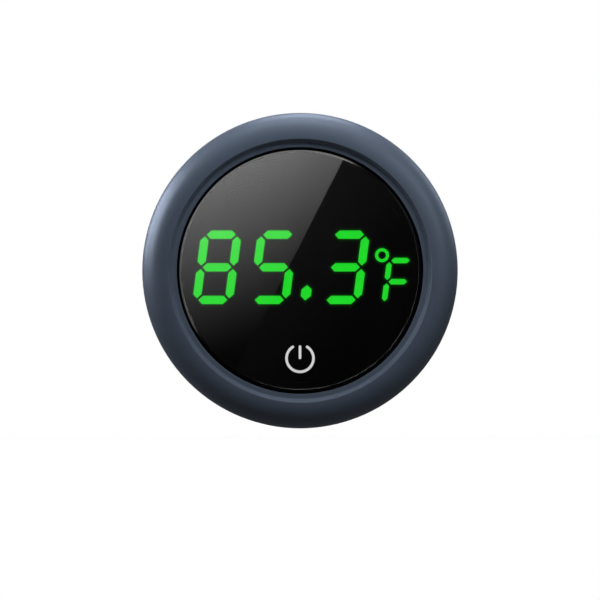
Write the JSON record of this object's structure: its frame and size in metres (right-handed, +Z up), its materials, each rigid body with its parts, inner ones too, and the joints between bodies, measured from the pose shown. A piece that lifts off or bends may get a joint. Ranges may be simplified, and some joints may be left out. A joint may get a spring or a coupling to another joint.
{
  "type": "aquarium thermometer",
  "caption": "Round stick-on aquarium thermometer: a glass front over a lit digital temperature display, a touch key, a rear temperature probe and a screw-off battery cover.",
  "frame": {"origin": "where the disc's axis meets the tank wall, in the plane of the adhesive pad's face", "axes": "+Z up as the display reads, +X to the right of the display, +Y out of the back into the tank wall, so the display faces -Y"},
  "size_m": [0.06, 0.0152, 0.06],
  "materials": {
    "slate_soft_touch": "slate-blue soft-touch moulding",
    "black_plastic": "fine satin moulding",
    "steel_screw": "plated steel",
    "black_rubber": "silicone rubber",
    "red_rubber": "silicone O-ring",
    "foam_pad": "closed-cell adhesive foam",
    "clear_glass": "tempered and polished",
    "black_tape": "black double-sided tape",
    "black_film": "black printed film",
    "white_plastic": "white moulding",
    "green_lit": "clear epoxy, lit green",
    "segment_dark": "smoked epoxy, unlit",
    "white_lit": "translucent white, lit",
    "board_green": "solder-masked laminate",
    "led_body": "white LED body",
    "spring_steel": "plated spring wire",
    "chip_black": "moulded epoxy",
    "tinned_metal": "tinned leads",
    "capacitor_tan": "ceramic",
    "nickel_contact": "nickel-plated spring strip",
    "stainless": "stainless steel",
    "epoxy_grey": "thermal epoxy",
    "epoxy_black": "epoxy bead",
    "lead_sleeve": "insulated lead",
    "nickel_cell": "nickel-plated steel can",
    "cell_plastic": "polypropylene gasket"
  },
  "bodies": {
    "housing": {"bezel_ring": "slate_soft_touch", "rear_shell": "black_plastic", "case_screws": "steel_screw", "case_seal": "black_rubber", "adhesive_pad": "foam_pad", "front_glass": "clear_glass", "glass_gasket": "black_rubber", "glass_tape": "black_tape", "mask_film": "black_film", "reflector_block": "white_plastic", "tens_digit": "green_lit", "ones_digit": "green_lit", "tenths_digit": "green_lit", "unit_letter": "green_lit", "unlit_segments": "segment_dark", "decimal_point": "green_lit", "degree_mark": "green_lit", "power_symbol": "white_lit", "main_board": "board_green", "board_screws": "steel_screw", "segment_leds": "led_body", "touch_key_led": "led_body", "touch_spring": "spring_steel", "microcontroller": "chip_black", "display_driver": "chip_black", "touch_controller": "chip_black", "chip_pins": "tinned_metal", "chip_resistors": "chip_black", "chip_capacitors": "capacitor_tan", "negative_contact": "nickel_contact", "positive_contacts": "nickel_contact", "probe_cap": "stainless", "probe_gasket": "black_rubber", "probe_potting": "epoxy_grey", "thermistor": "epoxy_black", "thermistor_leads": "lead_sleeve"},
    "cell": {"cell_can": "nickel_cell", "cell_gasket": "cell_plastic", "cell_cap": "nickel_cell"},
    "cover": {"battery_cover": "black_plastic", "cover_o_ring": "red_rubber"}
  },
  "joints": [
    {"name": "cover_lift", "type": "slide", "parent": "housing", "child": "cell", "axis": [0, 1, 0], "range_m": [0, 0.01]},
    {"name": "cover_turn", "type": "hinge", "parent": "cell", "child": "cover", "pos_m": [0, 0, 0], "axis": [0, 1, 0], "range_deg": [0, 360]}
  ],
  "couplings": [
    {"joint": "cover_lift", "follows": "cover_turn", "m_per_rad": 0.0015915}
  ]
}
